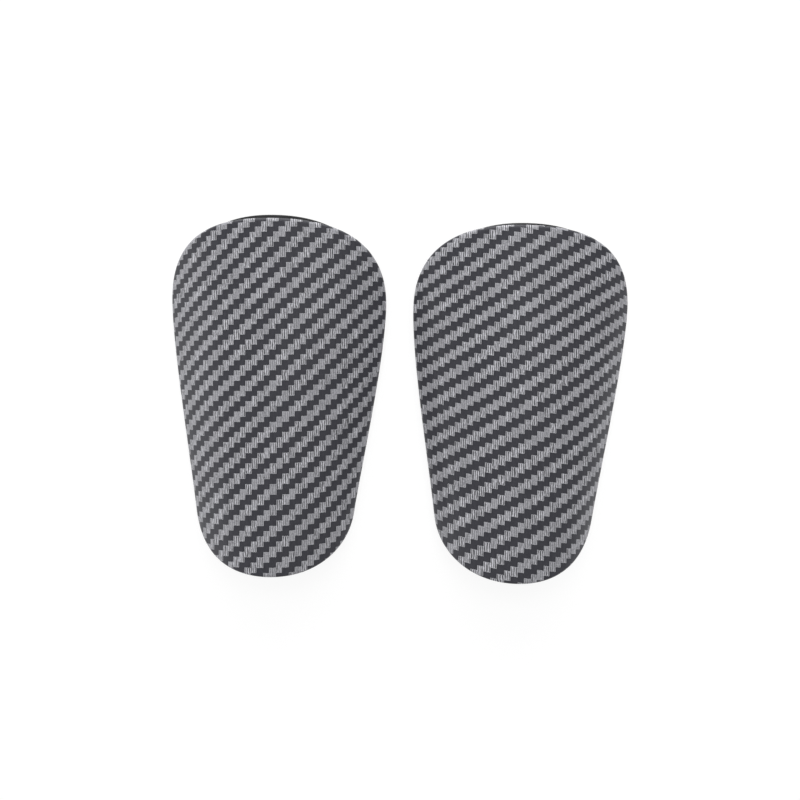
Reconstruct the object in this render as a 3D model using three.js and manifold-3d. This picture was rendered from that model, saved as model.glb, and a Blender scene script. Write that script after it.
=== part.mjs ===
// A pair of slip-in shin guards, lying side by side with their hard faces up.
//
// Each guard is a stack of five bonded layers: a printed film, a moulded shell, a sheet of
// glue, a foam pad and a knit lining. All five follow one curved surface, which arches
// across the shin and tapers from the knee end (+Y) to the ankle end (-Y). +Z is away from
// the leg. Lengths are in millimetres and angles in degrees.

import * as THREE from "three";
import { mergeVertices } from "three/addons/utils/BufferGeometryUtils.js";
import Module from "manifold-3d";

const wasm = await Module();
wasm.setup();

// ---- Driving dimensions -------------------------------------------------------------

// Plan outline of the hard face, seen along -Z.
const LENGTH = 137;
const WIDEST = { x: 43.3, y: 36.6 }; // where the sides run parallel
const ANKLE = { x: 32.2, y: -46 }; // where the straight taper ends
const KNEE_PULL = 16.5; // lengths of the curves' handles, from the knee end to the toe end
const WIDEST_PULL = { up: 30, down: 21.3 };
const ANKLE_PULL = { up: 18.8, down: 16.8 };
const TOE_PULL = 16.3;

// Arch of the hard face: the crown's height above the side rims, and the rims' own height.
const CROWN = { knee: 19, ankle: 16.8 };
const RIM = { knee: 5, ankle: 2.6 };

// Layers, each measured down from the hard face along its normal.
const FILM = { top: 0, thickness: 0.4 };
const SHELL = { top: 0.6, thickness: 2.2 };
const GLUE = { top: 3.0, thickness: 0.3 };
const FOAM = { top: 3.5, thickness: 4.0 };
const LINING = { top: 7.7, thickness: 0.6 };

// Edges of the layers.
const RIM_ROUND = 1.2; // radius of the hard face's edge
const FILM_SKIRT = 2.6; // depth to which the film turns down over the shell's edge
const GLUE_REACH = 0.9; // size of the glue sheet, as a share of the outline
const SOFT_INSET = 1.2; // how far the soft layers' edge stands in from the outline
const KNEE_BULGE = { left: 2.6, right: 2.1 }; // extra length of each pad at the knee
const KNEE_BULGE_HALF_WIDTH = 35;

// Vent holes, punched through the foam and the lining together.
const VENT_RADIUS = 2.5;
const VENT_PITCH = { across: 22, along: 22 };
const VENT_ROWS = [2, 3, 2, 3, 2]; // holes in each row, from the ankle to the knee

// The two guards on the table.
const SPACING = 95.7; // between the guards' middles
const STAGGER = 2.6; // the right guard lies this much nearer the ankle end
const TURN = { left: -1.2, right: -1.95 };

// Fineness of the faceted surfaces.
const CURVE_SEGMENTS = 6; // for each of the outline's six curves
const FACE_RINGS = [0.28, 0.54, 0.76]; // reaches of the inner rings
const VENT_SEGMENTS = 6;

// ---- The guard's surface ------------------------------------------------------------

const { degToRad, mapLinear } = THREE.MathUtils;

// Value at y of something that varies evenly from the ankle end to the knee end.
const along = (range, y) => mapLinear(y, -LENGTH / 2, LENGTH / 2, range.ankle, range.knee);

// Half the distance between the straight side rims, continued past both ends.
const sideDistance = (y) => mapLinear(y, ANKLE.y, WIDEST.y, ANKLE.x, WIDEST.x);

// Height of the hard face. Across the guard it is an arc over the two rims.
function faceHeight(x, y) {
  const side = sideDistance(y);
  const crown = along(CROWN, y);
  const radius = (side ** 2 + crown ** 2) / (2 * crown);
  return along(RIM, y) + crown - radius + Math.sqrt(radius ** 2 - x ** 2);
}

// Unit normal of the hard face, pointing away from the leg.
function faceNormal(x, y) {
  const step = 0.01;
  const slopeX = (faceHeight(x + step, y) - faceHeight(x - step, y)) / (2 * step);
  const slopeY = (faceHeight(x, y + step) - faceHeight(x, y - step)) / (2 * step);
  return new THREE.Vector3(-slopeX, -slopeY, 1).normalize();
}

// Point under (x, y) of the hard face, at a depth along the normal.
function layerPoint(x, y, depth) {
  return new THREE.Vector3(x, y, faceHeight(x, y)).addScaledVector(faceNormal(x, y), -depth);
}

// Right half of the plan outline: curves from the knee end's middle to the ankle end's.
function halfOutline() {
  const at = (x, y) => new THREE.Vector2(x, y);
  const knee = at(0, LENGTH / 2);
  const widest = at(WIDEST.x, WIDEST.y);
  const ankle = at(ANKLE.x, ANKLE.y);
  const toe = at(0, -LENGTH / 2);
  const taper = widest.clone().sub(ankle).normalize();
  const beside = (point, direction, distance) => point.clone().addScaledVector(direction, distance);
  const right = at(1, 0);
  const up = at(0, 1);
  return [
    new THREE.CubicBezierCurve(
      knee,
      beside(knee, right, KNEE_PULL),
      beside(widest, up, WIDEST_PULL.up),
      widest,
    ),
    new THREE.CubicBezierCurve(
      widest,
      beside(widest, up, -WIDEST_PULL.down),
      beside(ankle, taper, ANKLE_PULL.up),
      ankle,
    ),
    new THREE.CubicBezierCurve(
      ankle,
      beside(ankle, taper, -ANKLE_PULL.down),
      beside(toe, right, TOE_PULL),
      toe,
    ),
  ];
}

// A curve mirrored to the left side and run backwards.
function mirrored({ v0, v1, v2, v3 }) {
  const points = [v3, v2, v1, v0].map(({ x, y }) => new THREE.Vector2(-x, y));
  return new THREE.CubicBezierCurve(...points);
}

// The whole outline runs clockwise, seen from +Z.
const rightHalf = halfOutline();
const outline = [...rightHalf, ...rightHalf.map(mirrored).reverse()];

// Rim stations: a plan point of the outline and its direction towards the inside.
const rim = outline.flatMap((curve) =>
  Array.from({ length: CURVE_SEGMENTS }, (_, i) => {
    const tangent = curve.getTangent(i / CURVE_SEGMENTS);
    return {
      point: curve.getPoint(i / CURVE_SEGMENTS),
      inward: new THREE.Vector2(tangent.y, -tangent.x),
    };
  }),
);

// Share of the knee end's bulge at a rim station, fading out towards the sides.
function kneeShare({ x, y }) {
  return y > 0 ? Math.max(0, 1 - (x / KNEE_BULGE_HALF_WIDTH) ** 2) : 0;
}

// ---- Layers as solids ---------------------------------------------------------------

// Closed solid swept round the outline. Its rings run outwards over the upper face, then
// back inwards under it. A ring is the outline shrunk about the guard's middle to its
// reach and moved inwards by its inset, with its knee end lengthened by its bulge.
function layerGeometry({ upper, lower }) {
  const rings = [...upper, ...lower];
  const positions = [];
  const index = [];
  const add = (x, y, depth) => positions.push(...layerPoint(x, y, depth).toArray());
  add(0, 0, rings[0].depth);
  for (const { depth, reach = 1, inset = 0, bulge = 0 } of rings) {
    for (const { point, inward } of rim) {
      const x = point.x * reach + inward.x * inset;
      const y = point.y * reach + inward.y * inset;
      add(x, y + bulge * kneeShare(point), depth);
    }
  }
  add(0, 0, rings.at(-1).depth);

  const corner = (ring, station) => 1 + ring * rim.length + (station % rim.length);
  const last = 1 + rings.length * rim.length;
  for (let i = 0; i < rim.length; i++) {
    index.push(0, corner(0, i + 1), corner(0, i));
    for (let ring = 1; ring < rings.length; ring++) {
      const [a, b] = [corner(ring - 1, i), corner(ring - 1, i + 1)];
      const [c, d] = [corner(ring, i), corner(ring, i + 1)];
      // Both faces split their quads along the same diagonal, so that layers nest.
      if (ring < upper.length) index.push(a, b, d, a, d, c);
      else index.push(a, b, c, b, d, c);
    }
    index.push(last, corner(rings.length - 1, i), corner(rings.length - 1, i + 1));
  }
  const geometry = new THREE.BufferGeometry();
  geometry.setAttribute("position", new THREE.Float32BufferAttribute(positions, 3));
  geometry.setIndex(index);
  return geometry;
}

// Rings over a face at one depth, from the middle outwards. All layers share their plan
// positions, so that their facets nest.
const faceRings = (depth) => [...FACE_RINGS, GLUE_REACH].map((reach) => ({ depth, reach }));

// A sheet with square edges, ending at the last of its face's rings.
function sheetProfile({ top, thickness }, face) {
  return { upper: face(top), lower: face(top + thickness).reverse() };
}

// Quarter circle round an upper edge, from the face to the side.
function roundedEdge(inset, top, radius) {
  return [0, 45, 90].map((degrees) => {
    const angle = degToRad(degrees);
    return {
      inset: inset + radius * (1 - Math.sin(angle)),
      depth: top + radius * (1 - Math.cos(angle)),
    };
  });
}

// The shell: a sheet whose upper edge is rounded.
function shellProfile() {
  const { top, thickness } = SHELL;
  return {
    upper: [...faceRings(top), ...roundedEdge(top, top, RIM_ROUND - top)],
    lower: [...faceRings(top + thickness), { inset: top, depth: top + thickness }].reverse(),
  };
}

// The film: a skin over the shell's face that turns down over its edge.
function filmProfile() {
  return sheetProfile(FILM, (depth) => [
    ...faceRings(depth),
    ...roundedEdge(depth, depth, RIM_ROUND - depth),
    { inset: depth, depth: FILM_SKIRT },
  ]);
}

// A soft layer, which reaches a little past the shell at the knee.
function softProfile(layer, bulge) {
  return sheetProfile(layer, (depth) => [...faceRings(depth), { inset: SOFT_INSET, bulge, depth }]);
}

// ---- Cuts ---------------------------------------------------------------------------

function toSolid(geometry) {
  const bare = geometry.clone();
  bare.deleteAttribute("normal");
  bare.deleteAttribute("uv");
  const merged = mergeVertices(bare, 1e-4);
  return new wasm.Manifold(
    new wasm.Mesh({
      numProp: 3,
      vertProperties: merged.attributes.position.array,
      triVerts: new Uint32Array(merged.index.array),
    }),
  );
}

function toGeometry(solid) {
  const mesh = solid.getMesh();
  const geometry = new THREE.BufferGeometry();
  geometry.setAttribute("position", new THREE.BufferAttribute(mesh.vertProperties, 3));
  geometry.setIndex(new THREE.BufferAttribute(mesh.triVerts, 1));
  geometry.computeVertexNormals();
  return geometry;
}

// Plan centres of the vent holes, in staggered rows.
const ventCentres = VENT_ROWS.flatMap((count, row) =>
  Array.from({ length: count }, (_, column) => ({
    x: (column - (count - 1) / 2) * VENT_PITCH.across,
    y: (row - (VENT_ROWS.length - 1) / 2) * VENT_PITCH.along,
  })),
);

// A punch through the soft layers, square to the surface.
function ventPunch({ x, y }) {
  const bottom = LINING.top + LINING.thickness;
  const punch = new THREE.CylinderGeometry(VENT_RADIUS, VENT_RADIUS, bottom, VENT_SEGMENTS);
  const turn = new THREE.Quaternion().setFromUnitVectors(
    new THREE.Vector3(0, 1, 0),
    faceNormal(x, y),
  );
  punch.applyQuaternion(turn);
  punch.translate(...layerPoint(x, y, (FOAM.top + bottom) / 2).toArray());
  return toSolid(punch);
}

// Everything below the table top, which trims the soft edges flat where the guard rests.
function tableCutter() {
  const table = new THREE.BoxGeometry(2 * LENGTH, 2 * LENGTH, LENGTH);
  table.translate(0, 0, -LENGTH / 2);
  return toSolid(table);
}

const softCutters = [tableCutter(), ...ventCentres.map(ventPunch)];

function softGeometry(layer, bulge) {
  const sheet = toSolid(layerGeometry(softProfile(layer, bulge)));
  return toGeometry(softCutters.reduce((solid, cutter) => solid.subtract(cutter), sheet));
}

// ---- Materials ----------------------------------------------------------------------

const material = (color, roughness) => new THREE.MeshStandardMaterial({ color, roughness });

const printedFilm = material(0x55555c, 0.35);
const blackPlastic = material(0x1c1c1f, 0.5);
const milkyGlue = material(0xc9c4b4, 0.6);
const blackFoam = material(0x202022, 0.95);
const blackKnit = material(0x2a2a2d, 0.9);

// ---- One guard, and the pair --------------------------------------------------------

function makeGuard(side) {
  const guard = new THREE.Group();
  const add = (name, geometry, finish) => {
    const mesh = new THREE.Mesh(geometry, finish);
    mesh.name = `${side}_${name}`;
    guard.add(mesh);
  };
  add("printed_film", layerGeometry(filmProfile()), printedFilm);
  add("shell", layerGeometry(shellProfile()), blackPlastic);
  add("glue_sheet", layerGeometry(sheetProfile(GLUE, faceRings)), milkyGlue);
  add("foam_pad", softGeometry(FOAM, KNEE_BULGE[side]), blackFoam);
  add("lining", softGeometry(LINING, KNEE_BULGE[side]), blackKnit);
  guard.rotation.z = degToRad(TURN[side]);
  return guard;
}

const left = makeGuard("left");
left.position.set(-SPACING / 2, STAGGER / 2, 0);
const right = makeGuard("right");
right.position.set(SPACING / 2, -STAGGER / 2, 0);

const pair = new THREE.Group();
pair.add(left, right);

// The origin is under the middle of the pair, on the table top.
const middle = new THREE.Box3().setFromObject(pair, true).getCenter(new THREE.Vector3());
for (const guard of pair.children) {
  guard.position.x -= middle.x;
  guard.position.y -= middle.y;
}

export default pair;
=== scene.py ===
"""Looks for a pair of slip-in shin guards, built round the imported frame.

Each guard is made again as fine meshes over the surface that its CAD layers follow: a printed
film, a moulded shell, a sheet of glue, a foam pad and a knit lining. Shapes are worked out in
millimetres in the guard's own frame (x across, y towards the knee, z away from the leg) and
placed on the frame in metres.
"""

import math

import bpy
import numpy as np
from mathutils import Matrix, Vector
from mathutils.geometry import delaunay_2d_cdt


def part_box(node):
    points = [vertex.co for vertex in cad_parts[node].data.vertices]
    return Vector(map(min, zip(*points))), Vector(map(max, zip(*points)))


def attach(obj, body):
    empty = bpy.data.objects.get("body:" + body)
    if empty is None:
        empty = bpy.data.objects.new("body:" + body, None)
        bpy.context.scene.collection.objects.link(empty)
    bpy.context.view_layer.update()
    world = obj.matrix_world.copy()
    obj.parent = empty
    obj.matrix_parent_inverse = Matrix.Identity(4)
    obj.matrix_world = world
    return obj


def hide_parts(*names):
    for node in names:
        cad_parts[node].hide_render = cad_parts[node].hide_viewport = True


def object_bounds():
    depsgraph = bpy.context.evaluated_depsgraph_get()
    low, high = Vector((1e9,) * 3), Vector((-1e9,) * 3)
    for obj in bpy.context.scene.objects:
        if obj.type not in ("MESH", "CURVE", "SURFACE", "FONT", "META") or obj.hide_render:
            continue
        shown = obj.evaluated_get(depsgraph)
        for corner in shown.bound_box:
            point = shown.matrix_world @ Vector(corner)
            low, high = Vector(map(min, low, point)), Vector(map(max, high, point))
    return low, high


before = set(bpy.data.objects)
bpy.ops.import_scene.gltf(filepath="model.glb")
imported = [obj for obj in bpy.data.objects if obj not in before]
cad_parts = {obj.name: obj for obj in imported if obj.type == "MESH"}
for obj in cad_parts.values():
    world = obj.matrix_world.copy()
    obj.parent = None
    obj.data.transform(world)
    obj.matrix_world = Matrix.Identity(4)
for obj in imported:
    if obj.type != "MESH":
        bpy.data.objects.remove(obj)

CAD_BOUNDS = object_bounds()
MM = 0.001

# ---- Driving dimensions, in millimetres ------------------------------------------------

LENGTH = 137.0
WIDEST = np.array([43.3, 36.6])  # where the sides run parallel
ANKLE = np.array([32.2, -46.0])  # where the straight taper ends
# Lengths of the outline curves' handles, from the knee end to the toe end.
KNEE_PULL = 16.5
WIDEST_PULL = {"up": 30.0, "down": 21.3}
ANKLE_PULL = {"up": 18.8, "down": 16.8}
TOE_PULL = 16.3
CROWN = {"knee": 19.0, "ankle": 16.8}  # height of the arch over its rims
RIM = {"knee": 5.0, "ankle": 2.6}  # height of the hard face's rims over the table

# Depths of each layer's two faces under the hard face.
FILM = (0.0, 0.4)
SHELL = (0.45, 2.8)
GLUE = (3.0, 3.3)
FOAM = (3.45, 7.5)
LINING = (7.6, 8.2)

RIM_ROUND = 1.2
FILM_SKIRT = 2.6  # depth to which the film turns down over the shell's edge
GLUE_REACH = 0.9  # the glue sheet's outline is the guard's times this
SHELL_ROUND = 0.4  # of the shell's lower edge
SHELL_FLAT = 0.3  # a ring this far inside that edge keeps the underside flat
FOAM_PUFF = 0.5  # how far the foam rises beside the glue sheet, towards the shell
FOAM_PUFF_START = GLUE_REACH + 0.01  # shares of the outline's distance from the middle
FOAM_PUFF_WIDTH = 0.05
FOAM_ROUND = 0.5
LINING_ROUND = 0.25
FOAM_REST = 0.75  # the lining is between the foam and the table
FOAM_LEAST = 1.2  # thickness that the foam keeps where the guard stands on it
REST_ROUND = 0.3  # how gradually the soft layers flatten where the guard stands on them
SOFT_INSET = 1.2  # the foam and the lining stop this far inside the outline
KNEE_BULGE = {"left": 2.6, "right": 2.1}  # but are moved out by this at the knee end
KNEE_BULGE_HALF_WIDTH = 35.0
TURN = {"left": math.radians(-1.2), "right": math.radians(-1.95)}
SIDES = ("left", "right")

VENT_RADIUS = 2.5
VENT_PITCH = 22.0
VENT_ROWS = (2, 3, 2, 3, 2)

# Fineness of the meshes.
CURVE_STEPS = 40  # for each of the outline's six curves
FACE_RINGS = 26
FACE_REACH = 0.93  # the plain rings of a face stop here, before its rounded edge
EDGE_GAPS = (0.4, 0.1)  # rings this far inside a rounded edge keep the face beside it flat
ROUND_STEPS = 6
EDGE_STEPS = 3
VENT_STEPS = 36
SOFT_GRID = 2.4
SOFT_GRID_ROW = 0.87  # of SOFT_GRID, from one row of points to the next
SOFT_GRID_CLEAR = 0.45  # of SOFT_GRID, from a border to the nearest points
SOFT_GRID_MARGIN = 3.0  # the grid starts this far past the guard's ends
VENT_SLACK = 0.02  # a vent's edge is made of straight steps, which dip inside its circle
SHARP_EDGE = math.radians(50)

# The printed twill, in columns and rows of tows. Each film stretched a little differently as it
# was moulded, so the counts and leans differ. They are counted over PRINT_SIDE, from the middle
# towards a side rim, and over PRINT_END, from the middle towards the knee end.
PRINT_SIDE = 45.0
PRINT_END = 70.0
PRINT = {
    "left": {
        "first": (0.17, -1.6),  # the column and row at the guard's middle
        "count": (19.2, 35.6),  # columns to the side, and rows to the end
        "lean": (0.7, -0.75),  # columns crossed on the way to the end, and rows to the side
        "sway": 0.35,  # columns bend to the left at both ends
        "knee_squeeze": 0.85,  # more columns abreast at the knee end
        "side_stretch": 0.5,  # fewer columns near the side rims
        "corner_bow": 1.7,  # rows bend towards the ankle end in the four corners
    },
    "right": {
        "first": (-0.26, 0.66),
        "count": (18.5, 37.5),
        "lean": (0.9, 2.7),
        "sway": 0.0,
        "knee_squeeze": 1.25,
        "side_stretch": 1.1,
        "corner_bow": 2.5,
    },
}
PRINT_CROWDING = 0.5  # rows are closer at the knee end and wider apart at the ankle end

# The knit's stitches, in millimetres.
KNIT = {"wale": 0.8, "course": 0.62}

# The print's look. PALE_TOW and DARK_TOW are reflectances.
PALE_TOW = 0.308
DARK_TOW = 0.046
PALE_TINT = (0.99, 0.99, 1.06)
DARK_TINT = (0.97, 0.97, 1.17)
FLOAT_ROWS = 2.0  # a tow lies over this many rows, then passes under as many
TOW_LINES = 3  # fine lines along each tow
TOW_LINE_WANDER = 1.1  # in lines
TOW_LINE_SHIFT = 0.55  # the wander's middle, so that the lines are centred in the tow
UNEVEN_COLUMNS = 0.04  # in columns
RAGGED_ENDS = 0.3  # in rows
BLUR = 0.03  # at the ends of a tow, in rows
# Sizes of the noises, in cells for each column and each row.
STRAND_CELLS = (9.0, 0.3)
LINE_CELLS = (3.4, 0.7)
GRAIN_CELLS = (6.0, 3.2)
TOW_CELLS = 90.0  # how far apart in the lines' noise two tows can be
MIDDLE_GREY = 0.47  # a tow without streaks, before it is scaled to PALE_TOW
STREAK_GREYS = (0.14, 0.86)  # between and on the lines
BORDER_GREY = 0.6  # along a tow's borders

# ---- Light: place and size in metres, power in watts -----------------------------------

AMBIENT = 0.5
FLOOR_PAPER = 0.15  # the floor reflects little, so that shadows on it are faint
FLOOR_GLOW = 0.87  # and shines by itself
FLOOR_HALF = 1.6
SOFTBOXES = {
    "back_low_box": ((0.0, 0.75, 0.18), (1.2, 0.34), 3.85),
    "back_middle_box": ((0.0, 0.848, 0.53), (0.9, 0.28), 2.4),
    "back_high_box": ((0.0, 0.5, 0.866), (0.9, 0.28), 2.4),
    "left_low_box": ((-0.75, 0.0, 0.18), (1.2, 0.34), 1.2),
    "right_high_box": ((0.309, 0.0, 0.951), (0.28, 0.9), 0.4),
}

# ---- Camera: place in metres, from the table midway between the two guards --------------

CAMERA_PLACE = (0.00109, 0.0256, 0.3438)
CAMERA_SENSOR = 36  # sensor and lens in millimetres
CAMERA_LENS = 38.25
CAMERA_SHIFT = -0.08125


# ---- The guard's surface ---------------------------------------------------------------

def along(limits, y):
    """A value that varies evenly from the ankle end to the knee end."""
    share = (y + LENGTH / 2) / LENGTH
    return limits["ankle"] + (limits["knee"] - limits["ankle"]) * share


def arch_radius(y):
    """Radius of the arch across the guard, from its straight sides and its height."""
    side = ANKLE[0] + (y - ANKLE[1]) * (WIDEST[0] - ANKLE[0]) / (WIDEST[1] - ANKLE[1])
    crown = along(CROWN, y)
    return (side**2 + crown**2) / (2 * crown)


def face_height(x, y):
    """Height of the hard face over the table."""
    radius = arch_radius(y)
    return along(RIM, y) + along(CROWN, y) - radius + np.sqrt(radius**2 - x**2)


def layer_points(plan, depth):
    """Points under plan positions of the hard face, at a depth along its normal."""
    x, y = plan[:, 0], plan[:, 1]
    step = 0.01
    slope_x = (face_height(x + step, y) - face_height(x - step, y)) / (2 * step)
    slope_y = (face_height(x, y + step) - face_height(x, y - step)) / (2 * step)
    normal = np.stack([-slope_x, -slope_y, np.ones_like(x)], 1)
    normal /= np.linalg.norm(normal, axis=1, keepdims=True)
    top = np.stack([x, y, face_height(x, y)], 1)
    return top - normal * np.reshape(depth, (-1, 1))


def cubic(points, t):
    """Points of a cubic curve, and its directions there."""
    a, b, c, d = (np.array(p, float) for p in points)
    t = t[:, None]
    place = a * (1 - t) ** 3 + 3 * b * t * (1 - t) ** 2 + 3 * c * t**2 * (1 - t) + d * t**3
    slope = (b - a) * (1 - t) ** 2 + 2 * (c - b) * t * (1 - t) + (d - c) * t**2
    return place, slope / np.linalg.norm(slope, axis=1, keepdims=True)


def make_outline():
    """Stations round the plan outline, clockwise seen from above, and their inward directions."""
    end = LENGTH / 2
    taper = (WIDEST - ANKLE) / np.linalg.norm(WIDEST - ANKLE)
    up = np.array([0, 1])
    right_half = [
        [(0, end), (KNEE_PULL, end), WIDEST + up * WIDEST_PULL["up"], WIDEST],
        [WIDEST, WIDEST - up * WIDEST_PULL["down"], ANKLE + taper * ANKLE_PULL["up"], ANKLE],
        [ANKLE, ANKLE - taper * ANKLE_PULL["down"], (TOE_PULL, -end), (0, -end)],
    ]
    mirror = np.array([-1, 1])
    left_half = [[np.array(p) * mirror for p in reversed(curve)] for curve in reversed(right_half)]
    t = np.arange(CURVE_STEPS) / CURVE_STEPS
    pairs = [cubic(curve, t) for curve in right_half + left_half]
    points = np.vstack([place for place, _ in pairs])
    tangents = np.vstack([tangent for _, tangent in pairs])
    return points, np.stack([tangents[:, 1], -tangents[:, 0]], 1)


OUTLINE, INWARD = make_outline()


# ---- Meshes ----------------------------------------------------------------------------

def turn_matrix(side):
    c, s = math.cos(TURN[side]), math.sin(TURN[side])
    return np.array([[c, -s], [s, c]])


def guard_place(side):
    """The guard's own origin on the table, from the box of its CAD film."""
    low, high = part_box(f"{side}_printed_film")
    turned = OUTLINE @ turn_matrix(side).T
    middle = (turned.min(0) + turned.max(0)) / 2
    return np.array([(low.x + high.x) / 2, (low.y + high.y) / 2]) / MM - middle


PLACE = {side: guard_place(side) for side in SIDES}


def new_piece(name, side, points, faces, material, coordinates):
    """A smooth piece that rides on its guard. coordinates go to its UV map, one for each point."""
    placed = points.copy()
    placed[:, :2] = points[:, :2] @ turn_matrix(side).T + PLACE[side]
    mesh = bpy.data.meshes.new(name)
    mesh.from_pydata((placed * MM).tolist(), [], [tuple(map(int, face)) for face in faces])
    mesh.polygons.foreach_set("use_smooth", [True] * len(mesh.polygons))
    mesh.set_sharp_from_angle(angle=SHARP_EDGE)
    layer = mesh.uv_layers.new(name="surface")
    corners = np.empty(len(mesh.loops), np.int32)
    mesh.loops.foreach_get("vertex_index", corners)
    layer.data.foreach_set("uv", coordinates[corners].ravel())
    mesh.materials.append(material)
    piece = bpy.data.objects.new(name, mesh)
    bpy.context.scene.collection.objects.link(piece)
    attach(piece, f"{side}_guard")
    return piece


def band(first, second, count):
    """Quads from one ring of points to the next, given where each ring starts."""
    return [
        (first + i, first + (i + 1) % count, second + (i + 1) % count, second + i)
        for i in range(count)
    ]


def face_rings(depth, reach=FACE_REACH):
    """Rings over a face as far out as reach."""
    return [(share, 0.0, depth, 0.0) for share in np.linspace(0, reach, FACE_RINGS + 1)[1:]]


def skin(depth, radius, bottom):
    """Rings over a face, round its edge and down its side, as (reach, inset, depth, unrolled).

    A ring is the outline times reach, moved inwards by inset. unrolled is the inset that it
    would have if the skin were peeled off and flattened.
    """
    rings = face_rings(depth)
    for gap in EDGE_GAPS:
        inset = depth + radius + gap
        rings.append((1.0, inset, depth, inset))
    for a in np.linspace(0, math.pi / 2, ROUND_STEPS + 1):
        inset = depth + radius * (1 - math.sin(a))
        rings.append((1.0, inset, depth + radius * (1 - math.cos(a)), depth + radius * (1 - a)))
    side = bottom - depth - radius
    rings.append((1.0, depth, bottom, depth + radius * (1 - math.pi / 2) - side))
    return rings


def swept(rings):
    """Points, faces and unrolled plan of the closed solid that runs through the rings."""
    count = len(OUTLINE)
    plans = [OUTLINE * reach + INWARD * inset for reach, inset, _, _ in rings]
    unrolled = [OUTLINE * reach + INWARD * flat for reach, _, _, flat in rings]
    depths = np.repeat([depth for _, _, depth, _ in rings], count)
    ends = [rings[0][2], rings[-1][2]]
    plan = np.vstack(plans + [np.zeros((2, 2))])
    points = layer_points(plan, np.concatenate([depths, ends]))
    top = len(rings) * count
    last = top - count
    faces = [(top, (i + 1) % count, i) for i in range(count)]
    for ring in range(1, len(rings)):
        faces += band((ring - 1) * count, ring * count, count)
    faces += [(top + 1, last + i, last + (i + 1) % count) for i in range(count)]
    return points, faces, np.vstack(unrolled + [np.zeros((2, 2))])


def print_coordinates(plan, side):
    """Column and row of the printed twill at each unrolled plan position."""
    radius = arch_radius(plan[:, 1])
    u = radius * np.arcsin(np.clip(plan[:, 0] / radius, -1, 1)) / PRINT_SIDE
    v = plan[:, 1] / PRINT_END
    film = PRINT[side]
    first, count, lean = (np.array(film[key]) for key in ("first", "count", "lean"))
    column = first[0] + count[0] * u + lean[0] * v + film["sway"] * v**2
    column += film["knee_squeeze"] * u * v - film["side_stretch"] * u**3
    row = first[1] + count[1] * v + lean[1] * u
    row += PRINT_CROWDING * v**2 + film["corner_bow"] * u**2 * v**2
    return np.stack([column, row], 1)


# ---- Soft layers -----------------------------------------------------------------------

def vent_centres():
    """Middles of the vents in plan, row by row."""
    middle_row = (len(VENT_ROWS) - 1) / 2
    return np.array([
        ((column - (count - 1) / 2) * VENT_PITCH, (row - middle_row) * VENT_PITCH)
        for row, count in enumerate(VENT_ROWS)
        for column in range(count)
    ])


def soft_loops(side):
    """A soft layer's outline and vents in plan, each with its directions into the material."""
    share = np.clip(1 - (OUTLINE[:, 0] / KNEE_BULGE_HALF_WIDTH) ** 2, 0, None)
    share[OUTLINE[:, 1] <= 0] = 0
    edge = OUTLINE + INWARD * SOFT_INSET
    edge[:, 1] += KNEE_BULGE[side] * share
    angles = np.arange(VENT_STEPS) * 2 * math.pi / VENT_STEPS
    spokes = np.stack([np.cos(angles), np.sin(angles)], 1)
    vents = [(centre + spokes * VENT_RADIUS, spokes) for centre in vent_centres()]
    return [(edge, INWARD)] + vents


def inside(points, loop):
    """Whether plan points are inside a closed loop."""
    x, y = points[:, 0, None], points[:, 1, None]
    ax, ay = loop[:, 0], loop[:, 1]
    bx, by = np.roll(ax, -1), np.roll(ay, -1)
    crosses = (ay > y) != (by > y)
    rise = np.where(by == ay, 1.0, by - ay)
    return (crosses & (x < ax + (y - ay) * (bx - ax) / rise)).sum(1) % 2 == 1


def soft_plan(loops, inset):
    """Points and triangles of a soft layer's plan, and where each loop starts."""
    borders = [points + into * inset for points, into in loops]
    half_width = WIDEST[0]
    half_length = LENGTH / 2 + SOFT_GRID_MARGIN
    grid = []
    for row, y in enumerate(np.arange(-half_length, half_length, SOFT_GRID * SOFT_GRID_ROW)):
        shift = SOFT_GRID / 2 * (row % 2)
        grid += [(x + shift, y) for x in np.arange(-half_width, half_width, SOFT_GRID)]
    grid = np.array(grid)
    keep = inside(grid, borders[0])
    for border in borders:
        distance = np.sqrt(((grid[:, None] - border[None]) ** 2).sum(2)).min(1)
        keep &= distance > SOFT_GRID * SOFT_GRID_CLEAR
    for centre in vent_centres():
        keep &= np.hypot(*(grid - centre).T) > VENT_RADIUS + inset
    points = np.vstack(borders + [grid[keep]])
    starts = np.cumsum([0] + [len(border) for border in borders])
    edges = []
    for start, border in zip(starts, borders):
        count = len(border)
        edges += [(int(start + i), int(start + (i + 1) % count)) for i in range(count)]
    made = delaunay_2d_cdt([Vector(p) for p in points], edges, [], 0, 1e-6)
    new_triangles, old_points = made[2], made[3]
    order = np.array([ids[0] for ids in old_points])
    triangles = order[np.array(new_triangles)]
    middles = points[triangles].mean(1)
    solid = inside(middles, borders[0])
    for centre in vent_centres():
        solid &= np.hypot(*(middles - centre).T) > VENT_RADIUS + inset - VENT_SLACK
    triangles = triangles[solid]
    a, b, c = (points[triangles[:, k]] for k in range(3))
    turned = (b - a)[:, 0] * (c - a)[:, 1] < (b - a)[:, 1] * (c - a)[:, 0]
    triangles[turned] = triangles[turned][:, ::-1]
    return points, triangles, starts


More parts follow.
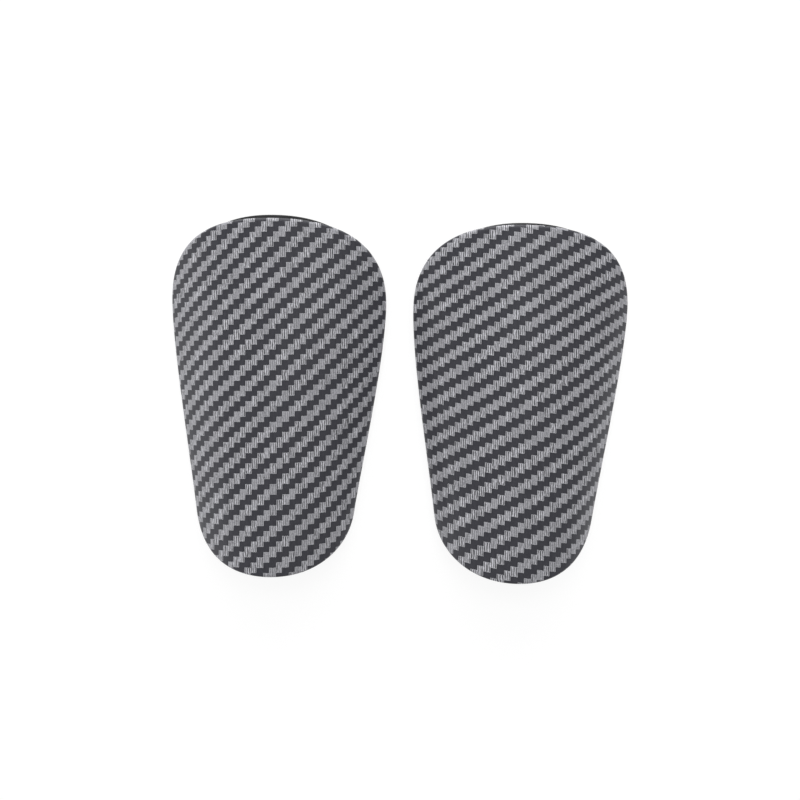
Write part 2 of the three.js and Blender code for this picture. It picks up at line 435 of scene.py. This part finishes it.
def soft_layer(side, top, bottom, edge_round, rest):
    """Points, faces and plan of a closed soft layer with vents and rounded edges.

    top and bottom give the depths of its faces at plan positions. rest gives the heights above
    the table that they keep where the guard stands on them.
    """
    loops = soft_loops(side)
    plan, triangles, starts = soft_plan(loops, edge_round)
    count = len(plan)
    angles = np.linspace(0, math.pi / 2, EDGE_STEPS + 1)[1:]
    edge = [(edge_round * (1 - math.sin(a)), edge_round * (1 - math.cos(a))) for a in angles]
    plans = [plan, plan]
    depths = [top(plan), bottom(plan)]
    heights = [np.full(count, rest[0]), np.full(count, rest[1])]
    faces = [tuple(t) for t in triangles] + [tuple(t[::-1] + count) for t in triangles]
    total = 2 * count
    for start, (points, into) in zip(starts, loops):
        size = len(points)
        previous = start
        down = [(inset, fall, top, 1, rest[0]) for inset, fall in edge]
        up = [(inset, fall, bottom, -1, rest[1]) for inset, fall in reversed(edge)]
        for inset, fall, face, sign, height in down + up:
            ring = points + into * inset
            plans.append(ring)
            depths.append(face(ring) + sign * fall)
            heights.append(np.full(size, height))
            faces += band(previous, total, size)
            previous = total
            total += size
        faces += band(previous, start + count, size)
    plan, depth = np.vstack(plans), np.concatenate(depths)
    points = layer_points(plan, depth)
    above = points[:, 2] - np.concatenate(heights)
    points[:, 2] += (np.sqrt(above**2 + REST_ROUND**2) - above) / 2
    return points, faces, plan


def reach_of(plan):
    """How far plan positions are from the middle, as a share of the outline's distance."""
    order = np.argsort(np.arctan2(OUTLINE[:, 0], OUTLINE[:, 1]))
    angles = np.arctan2(OUTLINE[:, 0], OUTLINE[:, 1])[order]
    radii = np.hypot(*OUTLINE.T)[order]
    here = np.interp(np.arctan2(plan[:, 0], plan[:, 1]), angles, radii, period=2 * math.pi)
    return np.hypot(*plan.T) / here


def foam_top(plan):
    """The foam rises past the glue sheet's edge until it is close under the shell."""
    share = np.clip((reach_of(plan) - FOAM_PUFF_START) / FOAM_PUFF_WIDTH, 0, 1)
    return FOAM[0] - FOAM_PUFF * share**2 * (3 - 2 * share)


def level(depth):
    """A face at the same depth all over."""
    return lambda plan: np.full(len(plan), depth)


# ---- Materials -------------------------------------------------------------------------

class Shader:
    """A material's nodes, made one call at a time."""

    def __init__(self, name):
        self.material = bpy.data.materials.new(name)
        self.material.use_nodes = True
        self.tree = self.material.node_tree
        self.principled = self.tree.nodes["Principled BSDF"]

    def put(self, kind, inputs=(), output=0, **settings):
        """Adds a node with its inputs and settings, and gives back one of its outputs."""
        node = self.tree.nodes.new(kind)
        for key, value in settings.items():
            setattr(node, key, value)
        for key, value in dict(inputs).items():
            self.feed(node.inputs[key], value)
        return node.outputs[output]

    def feed(self, socket, value):
        if isinstance(value, bpy.types.NodeSocket):
            self.tree.links.new(value, socket)
        else:
            socket.default_value = value

    def math(self, operation, *values):
        return self.put("ShaderNodeMath", enumerate(values), operation=operation)

    def fade(self, value, start, end, low=0.0, high=1.0):
        """Goes smoothly from low to high while value goes from start to end."""
        inputs = {"Value": value, "From Min": start, "From Max": end, "To Min": low, "To Max": high}
        return self.put("ShaderNodeMapRange", inputs, interpolation_type="SMOOTHSTEP")

    def blend(self, factor, low, high):
        """A number between low and high."""
        inputs = {"Factor": factor, "A": low, "B": high}
        return self.put("ShaderNodeMix", inputs, data_type="FLOAT")

    def mix(self, factor, low, high):
        """A colour between low and high."""
        # The node has sockets of the same names for numbers, so its colour sockets are counted.
        inputs = {0: factor, 6: low, 7: high}
        return self.put("ShaderNodeMix", inputs, output=2, data_type="RGBA")

    def vector(self, x, y, z=0.0):
        return self.put("ShaderNodeCombineXYZ", {"X": x, "Y": y, "Z": z})

    def stretch(self, x, y, times_x, times_y, z=0.0):
        """A vector of two numbers, each multiplied."""
        x = self.math("MULTIPLY", x, times_x)
        y = self.math("MULTIPLY", y, times_y)
        return self.vector(x, y, z)

    def noise(self, vector, scale=1.0, detail=2.0, rough=0.5):
        inputs = {"Vector": vector, "Scale": scale, "Detail": detail, "Roughness": rough}
        return self.put("ShaderNodeTexNoise", inputs, output="Fac")

    def surface(self):
        """The two numbers of the piece's UV map."""
        where = self.put("ShaderNodeUVMap", uv_map="surface")
        apart = self.tree.nodes.new("ShaderNodeSeparateXYZ")
        self.feed(apart.inputs[0], where)
        return apart.outputs[0], apart.outputs[1]

    def place(self):
        """Where the point is in the piece's own frame, in metres."""
        return self.put("ShaderNodeTexCoord", output="Object")

    def tint(self, value, colour):
        """A grey value times a colour."""
        red, green, blue = (self.math("MULTIPLY", value, part) for part in colour)
        return self.put("ShaderNodeCombineColor", {"Red": red, "Green": green, "Blue": blue})

    def bump(self, height, distance, strength=1.0):
        inputs = {"Height": height, "Distance": distance, "Strength": strength}
        self.feed(self.principled.inputs["Normal"], self.put("ShaderNodeBump", inputs))

    def finish(self, colour, **constants):
        """The finished material. constants are the shader's inputs, with _ for a space."""
        self.feed(self.principled.inputs["Base Color"], colour)
        for key, value in constants.items():
            self.principled.inputs[key.replace("_", " ")].default_value = value
        return self.material


def lay_twill(s, column, row):
    """Where a point is in the twill.

    Gives how pale it is, how far across its column, how far from the nearest tow of the other
    tone, and a random number for its tow.
    """
    whole = s.math("FLOOR", column)
    across = s.math("SUBTRACT", column, whole)
    # Each column's tows are one row further up than the last column's, and have ragged ends.
    strand = s.noise(s.stretch(column, row, *STRAND_CELLS), detail=1.0)
    ragged = s.math("MULTIPLY_ADD", strand, RAGGED_ENDS, -RAGGED_ENDS / 2)
    climb = s.math("ADD", s.math("SUBTRACT", row, whole), ragged)
    phase = s.math("FLOORED_MODULO", climb, 2 * FLOAT_ROWS)
    within = s.math("FLOORED_MODULO", climb, FLOAT_ROWS)
    half = FLOAT_ROWS / 2
    from_middle = s.math("PINGPONG", s.math("SUBTRACT", phase, half), FLOAT_ROWS)
    pale = s.fade(from_middle, half + BLUR, half - BLUR)
    # The other tone is past a tow's ends, to the right of its lower half and to the left of
    # its upper half.
    to_end = s.math("SUBTRACT", half, s.math("ABSOLUTE", s.math("SUBTRACT", within, half)))
    upper = s.math("GREATER_THAN", within, half)
    to_side = s.blend(upper, s.math("SUBTRACT", 1.0, across), across)
    to_border = s.math("MINIMUM", to_end, to_side)
    tow = s.vector(whole, s.math("FLOOR", s.math("DIVIDE", climb, FLOAT_ROWS)))
    chance = s.put("ShaderNodeTexWhiteNoise", {"Vector": tow}, noise_dimensions="2D")
    return pale, across, to_border, chance


def tow_lines(s, column, row, across, chance):
    """How bright the fine lines along a tow are, and how they wander."""
    place = s.stretch(column, row, *LINE_CELLS, s.math("MULTIPLY", chance, TOW_CELLS))
    wander = s.noise(place, detail=1.5)
    turns = s.math("MULTIPLY_ADD", wander, TOW_LINE_WANDER, s.math("MULTIPLY", across, TOW_LINES))
    turns = s.math("SUBTRACT", turns, TOW_LINE_SHIFT)
    line = s.math("COSINE", s.math("MULTIPLY", turns, 2 * math.pi))
    return s.fade(line, -0.7, 0.8), wander


def pale_tone(s, line, grain, to_border, chance):
    """Streaked more in some tows than in others, and plain along the borders."""
    other_chance = s.math("FRACT", s.math("MULTIPLY", chance, 57.0))
    streaked = s.fade(other_chance, 0.05, 0.6, low=0.3, high=1.0)
    grey = s.blend(streaked, MIDDLE_GREY, s.blend(line, *STREAK_GREYS))
    grey = s.blend(s.fade(to_border, 0.02, 0.16), BORDER_GREY, grey)
    grey = s.math("MULTIPLY", grey, s.math("MULTIPLY_ADD", chance, 0.12, 0.94))
    grey = s.math("MULTIPLY", grey, s.math("MULTIPLY_ADD", grain, 2.0, 1.0))
    return s.tint(s.math("MULTIPLY", grey, PALE_TOW / MIDDLE_GREY), PALE_TINT)


def dark_tone(s, wander, grain, to_border):
    """Darker along the borders, and a little uneven."""
    grey = s.fade(to_border, 0.05, 0.22, low=0.7, high=1.0)
    grey = s.math("MULTIPLY", grey, s.math("MULTIPLY_ADD", wander, 0.5, 0.75))
    grey = s.math("MULTIPLY", grey, s.math("MULTIPLY_ADD", grain, 0.9, 1.0))
    return s.tint(s.math("MULTIPLY", grey, DARK_TOW), DARK_TINT)


def film_material():
    """Gloss film with a 2x2 twill print: pale streaked tows over charcoal ones."""
    s = Shader("film_twill")
    column, row = s.surface()
    # Every other column is a little wider.
    wave = s.math("COSINE", s.math("MULTIPLY", column, math.pi))
    column = s.math("MULTIPLY_ADD", wave, UNEVEN_COLUMNS, column)
    pale, across, to_border, chance = lay_twill(s, column, row)
    line, wander = tow_lines(s, column, row, across, chance)
    grain = s.noise(s.stretch(column, row, *GRAIN_CELLS), detail=3.0, rough=0.7)
    grain = s.math("SUBTRACT", grain, 0.5)
    bright = pale_tone(s, line, grain, to_border, chance)
    dark = dark_tone(s, wander, grain, to_border)
    s.bump(grain, distance=0.00003, strength=0.3)
    return s.finish(
        s.mix(pale, dark, bright),
        Roughness=0.36,
        Specular_IOR_Level=0.2,
        Coat_Weight=0.08,
        Coat_Roughness=0.16,
    )


def shell_material():
    """Black moulded polypropylene with a fine satin grain."""
    s = Shader("shell_plastic")
    place = s.place()
    cloud = s.noise(place, scale=90.0, detail=3.0)
    shade = s.fade(cloud, 0.2, 0.8, low=0.014, high=0.022)
    grain = s.noise(place, scale=2600.0, detail=3.0, rough=0.6)
    s.bump(grain, distance=0.00004, strength=0.5)
    return s.finish(s.tint(shade, (1.0, 1.0, 1.04)), Roughness=0.42)


def glue_material():
    """Milky dried adhesive."""
    s = Shader("glue_film")
    cloud = s.noise(s.place(), scale=300.0, detail=4.0)
    shade = s.fade(cloud, 0.3, 0.7, low=0.5, high=0.62)
    s.bump(cloud, distance=0.0001, strength=0.4)
    return s.finish(s.tint(shade, (1.0, 0.97, 0.86)), Roughness=0.3)


def foam_material():
    """Black closed-cell foam: fine packed cells, some of them open at the cut, with painted shade
    where they sink.
    """
    s = Shader("foam_eva")
    place = s.place()
    cells = s.put("ShaderNodeTexVoronoi", {"Vector": place, "Scale": 2300.0}, output="Distance")
    pores = s.put("ShaderNodeTexVoronoi", {"Vector": place, "Scale": 900.0}, output="Distance")
    pits = s.fade(pores, 0.05, 0.28, low=-0.8, high=0.0)
    height = s.math("ADD", s.math("MULTIPLY", cells, -0.6), pits)
    cloud = s.noise(place, scale=160.0, detail=3.0)
    # Painted shade: the colour is darker where the cells and pits sink, as if shade fell in the
    # hollows; the cloud adds real unevenness.
    shade = s.fade(height, -1.2, -0.1, low=0.007, high=0.024)
    shade = s.math("MULTIPLY", shade, s.math("MULTIPLY_ADD", cloud, 0.5, 0.75))
    s.bump(height, distance=0.00012, strength=0.55)
    return s.finish(s.tint(shade, (1.0, 1.0, 1.05)), Roughness=0.82, Specular_IOR_Level=0.35)


def lining_material():
    """Black jersey: wales of small V stitches, with painted shade where the knit sinks between
    them.
    """
    s = Shader("lining_knit")
    x, y = s.surface()
    wale = s.math("DIVIDE", x, KNIT["wale"])
    leg = s.math("ABSOLUTE", s.math("SUBTRACT", s.math("FRACT", wale), 0.5))
    course = s.math("DIVIDE", y, KNIT["course"])
    drift = s.noise(s.stretch(x, y, 0.7, 0.7), detail=3.0)
    slant = s.math("MULTIPLY_ADD", leg, 1.3, s.math("MULTIPLY_ADD", drift, 0.5, course))
    loops = s.math("SINE", s.math("MULTIPLY", slant, 2 * math.pi))
    loops = s.math("MULTIPLY_ADD", loops, 0.5, 0.5)
    rib = s.math("SINE", s.math("MULTIPLY", leg, 2 * math.pi))
    rib = s.math("POWER", rib, 0.7)
    height = s.math("MULTIPLY", rib, s.math("MULTIPLY_ADD", loops, 0.55, 0.45))
    fibre = s.noise(s.stretch(x, y, 9.0, 9.0), detail=4.0, rough=0.7)
    height = s.math("MULTIPLY_ADD", fibre, 0.35, height)
    # Painted shade: the colour is darker where the knit sinks between the wales and loops; the
    # fibre noise adds real unevenness.
    shade = s.fade(height, 0.1, 1.2, low=0.004, high=0.032)
    s.bump(height, distance=0.00022, strength=0.8)
    return s.finish(
        s.tint(shade, (1.0, 1.0, 1.06)),
        Roughness=0.88,
        Specular_IOR_Level=0.25,
        Sheen_Weight=0.25,
        Sheen_Roughness=0.45,
    )


# ---- The two guards --------------------------------------------------------------------

def make_film(side, material):
    outer = skin(FILM[0], RIM_ROUND, FILM_SKIRT)
    inner = skin(FILM[1], RIM_ROUND - FILM[1], FILM_SKIRT)
    points, faces, unrolled = swept(outer + inner[::-1])
    printed = print_coordinates(unrolled, side)
    film = new_piece(f"{side}_film", side, points, faces, material, printed)
    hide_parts(f"{side}_printed_film")


def make_shell(side, material):
    face = skin(SHELL[0], RIM_ROUND - SHELL[0], SHELL[1] - SHELL_ROUND)
    edge = []
    for a in np.linspace(0, math.pi / 2, EDGE_STEPS + 1)[1:]:
        inset = SHELL[0] + SHELL_ROUND * (1 - math.cos(a))
        edge.append((1.0, inset, SHELL[1] - SHELL_ROUND * (1 - math.sin(a)), 0.0))
    under = face_rings(SHELL[1])
    under.append((1.0, SHELL[0] + SHELL_ROUND + SHELL_FLAT, SHELL[1], 0.0))
    points, faces, unrolled = swept(face + edge + under[::-1])
    shell = new_piece(f"{side}_plastic_shell", side, points, faces, material, unrolled)
    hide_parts(f"{side}_shell")


def make_glue(side, material):
    sheet = face_rings(GLUE[0], GLUE_REACH) + face_rings(GLUE[1], GLUE_REACH)[::-1]
    points, faces, unrolled = swept(sheet)
    adhesive = new_piece(f"{side}_adhesive", side, points, faces, material, unrolled)
    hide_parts(f"{side}_glue_sheet")


def make_foam(side, material):
    rest = (FOAM_REST + FOAM_LEAST, FOAM_REST)
    points, faces, plan = soft_layer(side, foam_top, level(FOAM[1]), FOAM_ROUND, rest)
    pad = new_piece(f"{side}_foam", side, points, faces, material, plan)
    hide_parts(f"{side}_foam_pad")
    return pad


def make_lining(side, material):
    rest = (LINING[1] - LINING[0], 0.0)
    top = level(LINING[0])
    bottom = level(LINING[1])
    points, faces, plan = soft_layer(side, top, bottom, LINING_ROUND, rest)
    cloth = new_piece(f"{side}_knit", side, points, faces, material, plan)
    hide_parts(f"{side}_lining")
    width, length, area = lining_cut(side)


def lining_cut(side):
    """Width, length and area of the lining before it is bonded over the arch, in metres."""
    loops = soft_loops(side)
    plan, triangles, _ = soft_plan(loops, 0.0)
    depth = (LINING[0] + LINING[1]) / 2
    points = layer_points(plan, np.full(len(plan), depth))
    a, b, c = (points[triangles[:, k]] for k in range(3))
    area = np.linalg.norm(np.cross(b - a, c - a), axis=1).sum() / 2
    edge = loops[0][0]
    radius = arch_radius(edge[:, 1])
    width = 2 * ((radius - depth) * np.arcsin(edge[:, 0] / radius)).max()
    return width * MM, np.ptp(edge[:, 1]) * MM, area * MM**2


# ---- Floor, light and camera -----------------------------------------------------------

def make_floor():
    mesh = bpy.data.meshes.new("floor")
    half = FLOOR_HALF
    low = CAD_BOUNDS[0].z
    corners = [(-half, -half, low), (half, -half, low), (half, half, low), (-half, half, low)]
    mesh.from_pydata(corners, [], [(0, 1, 2, 3)])
    floor = bpy.data.objects.new("floor", mesh)
    bpy.context.scene.collection.objects.link(floor)
    material = bpy.data.materials.new("floor_paper")
    material.use_nodes = True
    shader = material.node_tree.nodes["Principled BSDF"]
    shader.inputs["Base Color"].default_value = (FLOOR_PAPER, FLOOR_PAPER, FLOOR_PAPER, 1)
    shader.inputs["Roughness"].default_value = 0.9
    shader.inputs["Emission Color"].default_value = (1, 1, 1, 1)
    shader.inputs["Emission Strength"].default_value = FLOOR_GLOW
    # The floor's lower side is clear, so that the guards can be seen from below.
    nodes, links = material.node_tree.nodes, material.node_tree.links
    clear = nodes.new("ShaderNodeBsdfTransparent")
    facing = nodes.new("ShaderNodeNewGeometry")
    either = nodes.new("ShaderNodeMixShader")
    links.new(facing.outputs["Backfacing"], either.inputs[0])
    links.new(shader.outputs[0], either.inputs[1])
    links.new(clear.outputs[0], either.inputs[2])
    links.new(either.outputs[0], nodes["Material Output"].inputs["Surface"])
    mesh.materials.append(material)


def softbox(name, place, size, power):
    """An area light that faces the guards."""
    light = bpy.data.lights.new(name, "AREA")
    light.shape = "RECTANGLE"
    light.size, light.size_y = size
    light.energy = power
    lamp = bpy.data.objects.new(name, light)
    bpy.context.scene.collection.objects.link(lamp)
    lamp.location = place
    lamp.rotation_mode = "QUATERNION"
    lamp.rotation_quaternion = Vector(place).to_track_quat("Z", "Y")
    lamp.visible_camera = False


def make_camera():
    """Looks straight down at the pair, as in the photo."""
    low = CAD_BOUNDS[0].z
    data = bpy.data.cameras.new("camera")
    data.sensor_width = CAMERA_SENSOR
    data.lens = CAMERA_LENS
    data.shift_y = CAMERA_SHIFT
    camera = bpy.data.objects.new("camera", data)
    x, y = sum(PLACE.values()) / len(PLACE) * MM
    camera.location = (x + CAMERA_PLACE[0], y + CAMERA_PLACE[1], low + CAMERA_PLACE[2])
    bpy.context.scene.collection.objects.link(camera)
    bpy.context.scene.camera = camera


def make_world():
    world = bpy.data.worlds.new("studio")
    world.use_nodes = True
    background = world.node_tree.nodes["Background"]
    background.inputs["Color"].default_value = (1, 1, 1, 1)
    background.inputs["Strength"].default_value = AMBIENT
    bpy.context.scene.world = world


bpy.context.scene.view_settings.view_transform = "Standard"
make_camera()
make_world()
make_floor()
for name, (place, size, power) in SOFTBOXES.items():
    softbox(name, place, size, power)
film_look = film_material()
shell_look = shell_material()
glue_look = glue_material()
foam_look = foam_material()
lining_look = lining_material()
for side in SIDES:
    make_film(side, film_look)
    make_shell(side, shell_look)
    make_glue(side, glue_look)
    pad = make_foam(side, foam_look)
    make_lining(side, lining_look)
